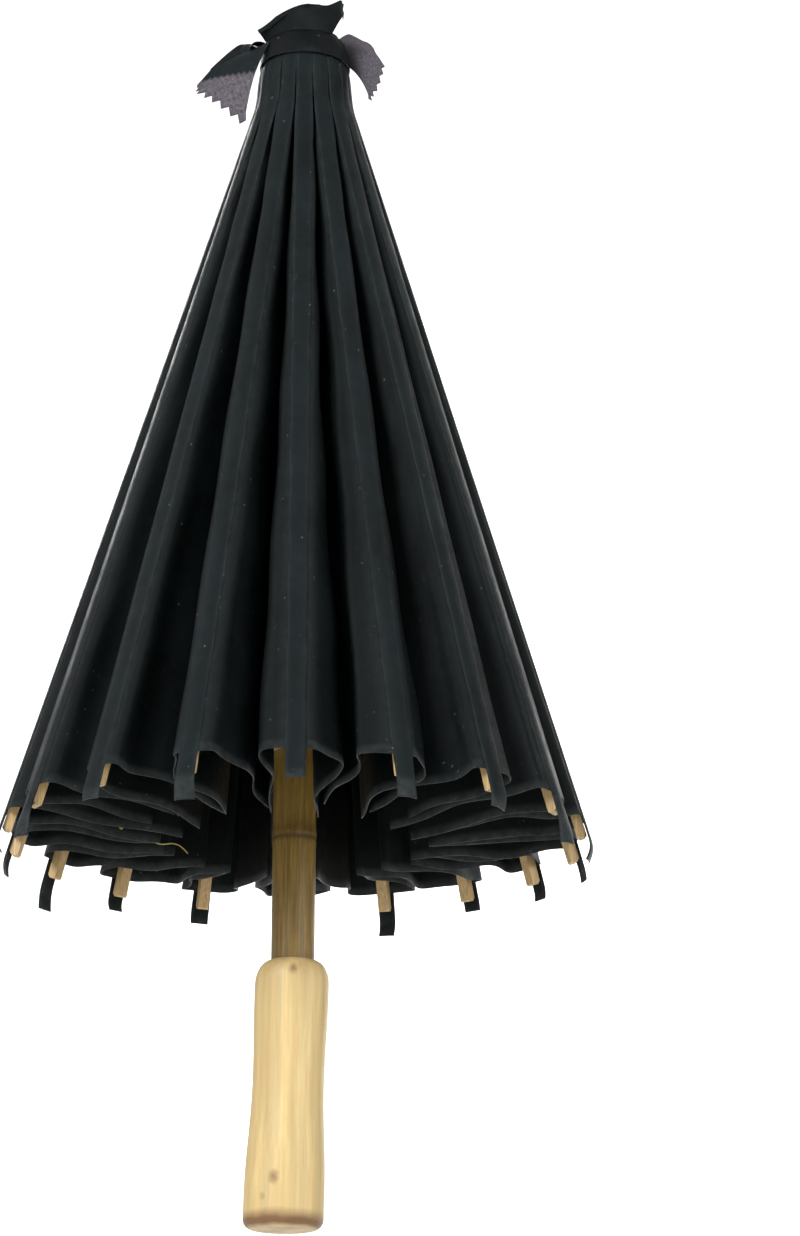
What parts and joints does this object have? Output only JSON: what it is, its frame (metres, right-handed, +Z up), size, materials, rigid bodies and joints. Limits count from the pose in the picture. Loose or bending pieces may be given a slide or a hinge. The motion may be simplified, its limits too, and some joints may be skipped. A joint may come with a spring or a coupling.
{
  "type": "oil paper umbrella",
  "caption": "Oil paper umbrella, half closed, with folding bamboo ribs and stretchers, a sliding runner, a pleated dark canopy, a tied head cloth and a turned wooden handle.",
  "frame": {"origin": "centre of the handle's flat lower end", "axes": "+Z up along the pole towards the crown, +X through the first rib and the stop pin"},
  "size_m": [0.271, 0.2678, 0.6053],
  "materials": {
    "pine": "oiled pine",
    "bamboo_pole": "dark varnished bamboo",
    "bamboo_strip": "plain split bamboo",
    "turned_wood": "plain turned wood",
    "oiled_cloth": "dark oiled cloth, semi-gloss",
    "head_cloth": "dark woven cloth, pinked edges"
  },
  "bodies": {
    "pole_and_handle": {"handle": "pine", "pole": "bamboo_pole", "top_notch": "turned_wood", "cap_cloth": "head_cloth"},
    "runner": {"runner": "turned_wood"},
    "stop_pin": {"stop_pin": "bamboo_strip"},
    "rib_01": {"rib_01": "bamboo_strip"},
    "stretcher_01": {"stretcher_01": "bamboo_strip"},
    "canopy_panel_01": {"canopy_panel_01": "oiled_cloth"},
    "rib_02": {"rib_02": "bamboo_strip"},
    "stretcher_02": {"stretcher_02": "bamboo_strip"},
    "canopy_panel_02": {"canopy_panel_02": "oiled_cloth"},
    "rib_03": {"rib_03": "bamboo_strip"},
    "stretcher_03": {"stretcher_03": "bamboo_strip"},
    "canopy_panel_03": {"canopy_panel_03": "oiled_cloth"},
    "rib_04": {"rib_04": "bamboo_strip"},
    "stretcher_04": {"stretcher_04": "bamboo_strip"},
    "canopy_panel_04": {"canopy_panel_04": "oiled_cloth"},
    "rib_05": {"rib_05": "bamboo_strip"},
    "stretcher_05": {"stretcher_05": "bamboo_strip"},
    "canopy_panel_05": {"canopy_panel_05": "oiled_cloth"},
    "rib_06": {"rib_06": "bamboo_strip"},
    "stretcher_06": {"stretcher_06": "bamboo_strip"},
    "canopy_panel_06": {"canopy_panel_06": "oiled_cloth"},
    "rib_07": {"rib_07": "bamboo_strip"},
    "stretcher_07": {"stretcher_07": "bamboo_strip"},
    "canopy_panel_07": {"canopy_panel_07": "oiled_cloth"},
    "rib_08": {"rib_08": "bamboo_strip"},
    "stretcher_08": {"stretcher_08": "bamboo_strip"},
    "canopy_panel_08": {"canopy_panel_08": "oiled_cloth"},
    "rib_09": {"rib_09": "bamboo_strip"},
    "stretcher_09": {"stretcher_09": "bamboo_strip"},
    "canopy_panel_09": {"canopy_panel_09": "oiled_cloth"},
    "rib_10": {"rib_10": "bamboo_strip"},
    "stretcher_10": {"stretcher_10": "bamboo_strip"},
    "canopy_panel_10": {"canopy_panel_10": "oiled_cloth"},
    "rib_11": {"rib_11": "bamboo_strip"},
    "stretcher_11": {"stretcher_11": "bamboo_strip"},
    "canopy_panel_11": {"canopy_panel_11": "oiled_cloth"},
    "rib_12": {"rib_12": "bamboo_strip"},
    "stretcher_12": {"stretcher_12": "bamboo_strip"},
    "canopy_panel_12": {"canopy_panel_12": "oiled_cloth"},
    "rib_13": {"rib_13": "bamboo_strip"},
    "stretcher_13": {"stretcher_13": "bamboo_strip"},
    "canopy_panel_13": {"canopy_panel_13": "oiled_cloth"},
    "rib_14": {"rib_14": "bamboo_strip"},
    "stretcher_14": {"stretcher_14": "bamboo_strip"},
    "canopy_panel_14": {"canopy_panel_14": "oiled_cloth"},
    "rib_15": {"rib_15": "bamboo_strip"},
    "stretcher_15": {"stretcher_15": "bamboo_strip"},
    "canopy_panel_15": {"canopy_panel_15": "oiled_cloth"},
    "rib_16": {"rib_16": "bamboo_strip"},
    "stretcher_16": {"stretcher_16": "bamboo_strip"},
    "canopy_panel_16": {"canopy_panel_16": "oiled_cloth"},
    "rib_17": {"rib_17": "bamboo_strip"},
    "stretcher_17": {"stretcher_17": "bamboo_strip"},
    "canopy_panel_17": {"canopy_panel_17": "oiled_cloth"},
    "rib_18": {"rib_18": "bamboo_strip"},
    "stretcher_18": {"stretcher_18": "bamboo_strip"},
    "canopy_panel_18": {"canopy_panel_18": "oiled_cloth"}
  },
  "joints": [
    {"name": "runner_slide", "type": "slide", "parent": "pole_and_handle", "child": "runner", "axis": [0, 0, 1], "range_m": [-0.0146, 0.2237]},
    {"name": "stop_pin_slide", "type": "slide", "parent": "pole_and_handle", "child": "stop_pin", "axis": [1, 0, 0], "range_m": [0, 0.004]},
    {"name": "rib_hinge_01", "type": "hinge", "parent": "pole_and_handle", "child": "rib_01", "pos_m": [0.015, 0, 0.579], "axis": [0, -1, 0], "range_deg": [-4.06, 61.44]},
    {"name": "stretcher_hinge_01", "type": "hinge", "parent": "rib_01", "child": "stretcher_01", "pos_m": [0.0607, 0, 0.42045], "axis": [0, 1, 0], "range_deg": [-7.45, 113.39]},
    {"name": "panel_fold_01", "type": "hinge", "parent": "rib_01", "child": "canopy_panel_01", "pos_m": [0.01596, 0, 0.57929], "axis": [0.2857, 0, -0.9583], "range_deg": [-5.26, 79.94]},
    {"name": "rib_hinge_02", "type": "hinge", "parent": "pole_and_handle", "child": "rib_02", "pos_m": [0.01409, 0.00513, 0.579], "axis": [0.342, -0.9397, 0], "range_deg": [-4.06, 61.44]},
    {"name": "stretcher_hinge_02", "type": "hinge", "parent": "rib_02", "child": "stretcher_02", "pos_m": [0.05704, 0.02076, 0.42045], "axis": [-0.342, 0.9397, 0], "range_deg": [-7.45, 113.39]},
    {"name": "panel_fold_02", "type": "hinge", "parent": "rib_02", "child": "canopy_panel_02", "pos_m": [0.015, 0.00546, 0.57929], "axis": [0.2685, 0.0977, -0.9583], "range_deg": [-5.26, 79.94]},
    {"name": "rib_hinge_03", "type": "hinge", "parent": "pole_and_handle", "child": "rib_03", "pos_m": [0.01149, 0.00964, 0.579], "axis": [0.6428, -0.766, 0], "range_deg": [-4.06, 61.44]},
    {"name": "stretcher_hinge_03", "type": "hinge", "parent": "rib_03", "child": "stretcher_03", "pos_m": [0.0465, 0.03902, 0.42045], "axis": [-0.6428, 0.766, 0], "range_deg": [-7.45, 113.39]},
    {"name": "panel_fold_03", "type": "hinge", "parent": "rib_03", "child": "canopy_panel_03", "pos_m": [0.01222, 0.01026, 0.57929], "axis": [0.2188, 0.1836, -0.9583], "range_deg": [-5.26, 79.94]},
    {"name": "rib_hinge_04", "type": "hinge", "parent": "pole_and_handle", "child": "rib_04", "pos_m": [0.0075, 0.01299, 0.579], "axis": [0.866, -0.5, 0], "range_deg": [-4.06, 61.44]},
    {"name": "stretcher_hinge_04", "type": "hinge", "parent": "rib_04", "child": "stretcher_04", "pos_m": [0.03035, 0.05257, 0.42045], "axis": [-0.866, 0.5, 0], "range_deg": [-7.45, 113.39]},
    {"name": "panel_fold_04", "type": "hinge", "parent": "rib_04", "child": "canopy_panel_04", "pos_m": [0.00798, 0.01382, 0.57929], "axis": [0.1428, 0.2474, -0.9583], "range_deg": [-5.26, 79.94]},
    {"name": "rib_hinge_05", "type": "hinge", "parent": "pole_and_handle", "child": "rib_05", "pos_m": [0.00261, 0.01477, 0.579], "axis": [0.9848, -0.1736, 0], "range_deg": [-4.06, 61.44]},
    {"name": "stretcher_hinge_05", "type": "hinge", "parent": "rib_05", "child": "stretcher_05", "pos_m": [0.01054, 0.05978, 0.42045], "axis": [-0.9848, 0.1736, 0], "range_deg": [-7.45, 113.39]},
    {"name": "panel_fold_05", "type": "hinge", "parent": "rib_05", "child": "canopy_panel_05", "pos_m": [0.00277, 0.01572, 0.57929], "axis": [0.0496, 0.2813, -0.9583], "range_deg": [-5.26, 79.94]},
    {"name": "rib_hinge_06", "type": "hinge", "parent": "pole_and_handle", "child": "rib_06", "pos_m": [-0.00261, 0.01477, 0.579], "axis": [0.9848, 0.1736, 0], "range_deg": [-4.06, 61.44]},
    {"name": "stretcher_hinge_06", "type": "hinge", "parent": "rib_06", "child": "stretcher_06", "pos_m": [-0.01054, 0.05978, 0.42045], "axis": [-0.9848, -0.1736, 0], "range_deg": [-7.45, 113.39]},
    {"name": "panel_fold_06", "type": "hinge", "parent": "rib_06", "child": "canopy_panel_06", "pos_m": [-0.00277, 0.01572, 0.57929], "axis": [-0.0496, 0.2813, -0.9583], "range_deg": [-5.26, 79.94]},
    {"name": "rib_hinge_07", "type": "hinge", "parent": "pole_and_handle", "child": "rib_07", "pos_m": [-0.0075, 0.01299, 0.579], "axis": [0.866, 0.5, 0], "range_deg": [-4.06, 61.44]},
    {"name": "stretcher_hinge_07", "type": "hinge", "parent": "rib_07", "child": "stretcher_07", "pos_m": [-0.03035, 0.05257, 0.42045], "axis": [-0.866, -0.5, 0], "range_deg": [-7.45, 113.39]},
    {"name": "panel_fold_07", "type": "hinge", "parent": "rib_07", "child": "canopy_panel_07", "pos_m": [-0.00798, 0.01382, 0.57929], "axis": [-0.1428, 0.2474, -0.9583], "range_deg": [-5.26, 79.94]},
    {"name": "rib_hinge_08", "type": "hinge", "parent": "pole_and_handle", "child": "rib_08", "pos_m": [-0.01149, 0.00964, 0.579], "axis": [0.6428, 0.766, 0], "range_deg": [-4.06, 61.44]},
    {"name": "stretcher_hinge_08", "type": "hinge", "parent": "rib_08", "child": "stretcher_08", "pos_m": [-0.0465, 0.03902, 0.42045], "axis": [-0.6428, -0.766, 0], "range_deg": [-7.45, 113.39]},
    {"name": "panel_fold_08", "type": "hinge", "parent": "rib_08", "child": "canopy_panel_08", "pos_m": [-0.01222, 0.01026, 0.57929], "axis": [-0.2188, 0.1836, -0.9583], "range_deg": [-5.26, 79.94]},
    {"name": "rib_hinge_09", "type": "hinge", "parent": "pole_and_handle", "child": "rib_09", "pos_m": [-0.01409, 0.00513, 0.579], "axis": [0.342, 0.9397, 0], "range_deg": [-4.06, 61.44]},
    {"name": "stretcher_hinge_09", "type": "hinge", "parent": "rib_09", "child": "stretcher_09", "pos_m": [-0.05704, 0.02076, 0.42045], "axis": [-0.342, -0.9397, 0], "range_deg": [-7.45, 113.39]},
    {"name": "panel_fold_09", "type": "hinge", "parent": "rib_09", "child": "canopy_panel_09", "pos_m": [-0.015, 0.00546, 0.57929], "axis": [-0.2685, 0.0977, -0.9583], "range_deg": [-5.26, 79.94]},
    {"name": "rib_hinge_10", "type": "hinge", "parent": "pole_and_handle", "child": "rib_10", "pos_m": [-0.015, 0, 0.579], "axis": [0, 1, 0], "range_deg": [-4.06, 61.44]},
    {"name": "stretcher_hinge_10", "type": "hinge", "parent": "rib_10", "child": "stretcher_10", "pos_m": [-0.0607, 0, 0.42045], "axis": [0, -1, 0], "range_deg": [-7.45, 113.39]},
    {"name": "panel_fold_10", "type": "hinge", "parent": "rib_10", "child": "canopy_panel_10", "pos_m": [-0.01596, 0, 0.57929], "axis": [-0.2857, 0, -0.9583], "range_deg": [-5.26, 79.94]},
    {"name": "rib_hinge_11", "type": "hinge", "parent": "pole_and_handle", "child": "rib_11", "pos_m": [-0.01409, -0.00513, 0.579], "axis": [-0.342, 0.9397, 0], "range_deg": [-4.06, 61.44]},
    {"name": "stretcher_hinge_11", "type": "hinge", "parent": "rib_11", "child": "stretcher_11", "pos_m": [-0.05704, -0.02076, 0.42045], "axis": [0.342, -0.9397, 0], "range_deg": [-7.45, 113.39]},
    {"name": "panel_fold_11", "type": "hinge", "parent": "rib_11", "child": "canopy_panel_11", "pos_m": [-0.015, -0.00546, 0.57929], "axis": [-0.2685, -0.0977, -0.9583], "range_deg": [-5.26, 79.94]},
    {"name": "rib_hinge_12", "type": "hinge", "parent": "pole_and_handle", "child": "rib_12", "pos_m": [-0.01149, -0.00964, 0.579], "axis": [-0.6428, 0.766, 0], "range_deg": [-4.06, 61.44]},
    {"name": "stretcher_hinge_12", "type": "hinge", "parent": "rib_12", "child": "stretcher_12", "pos_m": [-0.0465, -0.03902, 0.42045], "axis": [0.6428, -0.766, 0], "range_deg": [-7.45, 113.39]},
    {"name": "panel_fold_12", "type": "hinge", "parent": "rib_12", "child": "canopy_panel_12", "pos_m": [-0.01222, -0.01026, 0.57929], "axis": [-0.2188, -0.1836, -0.9583], "range_deg": [-5.26, 79.94]},
    {"name": "rib_hinge_13", "type": "hinge", "parent": "pole_and_handle", "child": "rib_13", "pos_m": [-0.0075, -0.01299, 0.579], "axis": [-0.866, 0.5, 0], "range_deg": [-4.06, 61.44]},
    {"name": "stretcher_hinge_13", "type": "hinge", "parent": "rib_13", "child": "stretcher_13", "pos_m": [-0.03035, -0.05257, 0.42045], "axis": [0.866, -0.5, 0], "range_deg": [-7.45, 113.39]},
    {"name": "panel_fold_13", "type": "hinge", "parent": "rib_13", "child": "canopy_panel_13", "pos_m": [-0.00798, -0.01382, 0.57929], "axis": [-0.1428, -0.2474, -0.9583], "range_deg": [-5.26, 79.94]},
    {"name": "rib_hinge_14", "type": "hinge", "parent": "pole_and_handle", "child": "rib_14", "pos_m": [-0.00261, -0.01477, 0.579], "axis": [-0.9848, 0.1736, 0], "range_deg": [-4.06, 61.44]},
    {"name": "stretcher_hinge_14", "type": "hinge", "parent": "rib_14", "child": "stretcher_14", "pos_m": [-0.01054, -0.05978, 0.42045], "axis": [0.9848, -0.1736, 0], "range_deg": [-7.45, 113.39]},
    {"name": "panel_fold_14", "type": "hinge", "parent": "rib_14", "child": "canopy_panel_14", "pos_m": [-0.00277, -0.01572, 0.57929], "axis": [-0.0496, -0.2813, -0.9583], "range_deg": [-5.26, 79.94]},
    {"name": "rib_hinge_15", "type": "hinge", "parent": "pole_and_handle", "child": "rib_15", "pos_m": [0.00261, -0.01477, 0.579], "axis": [-0.9848, -0.1736, 0], "range_deg": [-4.06, 61.44]},
    {"name": "stretcher_hinge_15", "type": "hinge", "parent": "rib_15", "child": "stretcher_15", "pos_m": [0.01054, -0.05978, 0.42045], "axis": [0.9848, 0.1736, 0], "range_deg": [-7.45, 113.39]},
    {"name": "panel_fold_15", "type": "hinge", "parent": "rib_15", "child": "canopy_panel_15", "pos_m": [0.00277, -0.01572, 0.57929], "axis": [0.0496, -0.2813, -0.9583], "range_deg": [-5.26, 79.94]},
    {"name": "rib_hinge_16", "type": "hinge", "parent": "pole_and_handle", "child": "rib_16", "pos_m": [0.0075, -0.01299, 0.579], "axis": [-0.866, -0.5, 0], "range_deg": [-4.06, 61.44]},
    {"name": "stretcher_hinge_16", "type": "hinge", "parent": "rib_16", "child": "stretcher_16", "pos_m": [0.03035, -0.05257, 0.42045], "axis": [0.866, 0.5, 0], "range_deg": [-7.45, 113.39]},
    {"name": "panel_fold_16", "type": "hinge", "parent": "rib_16", "child": "canopy_panel_16", "pos_m": [0.00798, -0.01382, 0.57929], "axis": [0.1428, -0.2474, -0.9583], "range_deg": [-5.26, 79.94]},
    {"name": "rib_hinge_17", "type": "hinge", "parent": "pole_and_handle", "child": "rib_17", "pos_m": [0.01149, -0.00964, 0.579], "axis": [-0.6428, -0.766, 0], "range_deg": [-4.06, 61.44]},
    {"name": "stretcher_hinge_17", "type": "hinge", "parent": "rib_17", "child": "stretcher_17", "pos_m": [0.0465, -0.03902, 0.42045], "axis": [0.6428, 0.766, 0], "range_deg": [-7.45, 113.39]},
    {"name": "panel_fold_17", "type": "hinge", "parent": "rib_17", "child": "canopy_panel_17", "pos_m": [0.01222, -0.01026, 0.57929], "axis": [0.2188, -0.1836, -0.9583], "range_deg": [-5.26, 79.94]},
    {"name": "rib_hinge_18", "type": "hinge", "parent": "pole_and_handle", "child": "rib_18", "pos_m": [0.01409, -0.00513, 0.579], "axis": [-0.342, -0.9397, 0], "range_deg": [-4.06, 61.44]},
    {"name": "stretcher_hinge_18", "type": "hinge", "parent": "rib_18", "child": "stretcher_18", "pos_m": [0.05704, -0.02076, 0.42045], "axis": [0.342, 0.9397, 0], "range_deg": [-7.45, 113.39]},
    {"name": "panel_fold_18", "type": "hinge", "parent": "rib_18", "child": "canopy_panel_18", "pos_m": [0.015, -0.00546, 0.57929], "axis": [0.2685, -0.0977, -0.9583], "range_deg": [-5.26, 79.94]}
  ],
  "couplings": [
    {"joint": "rib_hinge_01", "follows": "runner_slide", "rad_per_m": 4.7898},
    {"joint": "stretcher_hinge_01", "follows": "runner_slide", "rad_per_m": 8.8429},
    {"joint": "panel_fold_01", "follows": "runner_slide", "rad_per_m": 6.2329},
    {"joint": "rib_hinge_02", "follows": "runner_slide", "rad_per_m": 4.7898},
    {"joint": "stretcher_hinge_02", "follows": "runner_slide", "rad_per_m": 8.8429},
    {"joint": "panel_fold_02", "follows": "runner_slide", "rad_per_m": 6.2329},
    {"joint": "rib_hinge_03", "follows": "runner_slide", "rad_per_m": 4.7898},
    {"joint": "stretcher_hinge_03", "follows": "runner_slide", "rad_per_m": 8.8429},
    {"joint": "panel_fold_03", "follows": "runner_slide", "rad_per_m": 6.2329},
    {"joint": "rib_hinge_04", "follows": "runner_slide", "rad_per_m": 4.7898},
    {"joint": "stretcher_hinge_04", "follows": "runner_slide", "rad_per_m": 8.8429},
    {"joint": "panel_fold_04", "follows": "runner_slide", "rad_per_m": 6.2329},
    {"joint": "rib_hinge_05", "follows": "runner_slide", "rad_per_m": 4.7898},
    {"joint": "stretcher_hinge_05", "follows": "runner_slide", "rad_per_m": 8.8429},
    {"joint": "panel_fold_05", "follows": "runner_slide", "rad_per_m": 6.2329},
    {"joint": "rib_hinge_06", "follows": "runner_slide", "rad_per_m": 4.7898},
    {"joint": "stretcher_hinge_06", "follows": "runner_slide", "rad_per_m": 8.8429},
    {"joint": "panel_fold_06", "follows": "runner_slide", "rad_per_m": 6.2329},
    {"joint": "rib_hinge_07", "follows": "runner_slide", "rad_per_m": 4.7898},
    {"joint": "stretcher_hinge_07", "follows": "runner_slide", "rad_per_m": 8.8429},
    {"joint": "panel_fold_07", "follows": "runner_slide", "rad_per_m": 6.2329},
    {"joint": "rib_hinge_08", "follows": "runner_slide", "rad_per_m": 4.7898},
    {"joint": "stretcher_hinge_08", "follows": "runner_slide", "rad_per_m": 8.8429},
    {"joint": "panel_fold_08", "follows": "runner_slide", "rad_per_m": 6.2329},
    {"joint": "rib_hinge_09", "follows": "runner_slide", "rad_per_m": 4.7898},
    {"joint": "stretcher_hinge_09", "follows": "runner_slide", "rad_per_m": 8.8429},
    {"joint": "panel_fold_09", "follows": "runner_slide", "rad_per_m": 6.2329},
    {"joint": "rib_hinge_10", "follows": "runner_slide", "rad_per_m": 4.7898},
    {"joint": "stretcher_hinge_10", "follows": "runner_slide", "rad_per_m": 8.8429},
    {"joint": "panel_fold_10", "follows": "runner_slide", "rad_per_m": 6.2329},
    {"joint": "rib_hinge_11", "follows": "runner_slide", "rad_per_m": 4.7898},
    {"joint": "stretcher_hinge_11", "follows": "runner_slide", "rad_per_m": 8.8429},
    {"joint": "panel_fold_11", "follows": "runner_slide", "rad_per_m": 6.2329},
    {"joint": "rib_hinge_12", "follows": "runner_slide", "rad_per_m": 4.7898},
    {"joint": "stretcher_hinge_12", "follows": "runner_slide", "rad_per_m": 8.8429},
    {"joint": "panel_fold_12", "follows": "runner_slide", "rad_per_m": 6.2329},
    {"joint": "rib_hinge_13", "follows": "runner_slide", "rad_per_m": 4.7898},
    {"joint": "stretcher_hinge_13", "follows": "runner_slide", "rad_per_m": 8.8429},
    {"joint": "panel_fold_13", "follows": "runner_slide", "rad_per_m": 6.2329},
    {"joint": "rib_hinge_14", "follows": "runner_slide", "rad_per_m": 4.7898},
    {"joint": "stretcher_hinge_14", "follows": "runner_slide", "rad_per_m": 8.8429},
    {"joint": "panel_fold_14", "follows": "runner_slide", "rad_per_m": 6.2329},
    {"joint": "rib_hinge_15", "follows": "runner_slide", "rad_per_m": 4.7898},
    {"joint": "stretcher_hinge_15", "follows": "runner_slide", "rad_per_m": 8.8429},
    {"joint": "panel_fold_15", "follows": "runner_slide", "rad_per_m": 6.2329},
    {"joint": "rib_hinge_16", "follows": "runner_slide", "rad_per_m": 4.7898},
    {"joint": "stretcher_hinge_16", "follows": "runner_slide", "rad_per_m": 8.8429},
    {"joint": "panel_fold_16", "follows": "runner_slide", "rad_per_m": 6.2329},
    {"joint": "rib_hinge_17", "follows": "runner_slide", "rad_per_m": 4.7898},
    {"joint": "stretcher_hinge_17", "follows": "runner_slide", "rad_per_m": 8.8429},
    {"joint": "panel_fold_17", "follows": "runner_slide", "rad_per_m": 6.2329},
    {"joint": "rib_hinge_18", "follows": "runner_slide", "rad_per_m": 4.7898},
    {"joint": "stretcher_hinge_18", "follows": "runner_slide", "rad_per_m": 8.8429},
    {"joint": "panel_fold_18", "follows": "runner_slide", "rad_per_m": 6.2329}
  ]
}
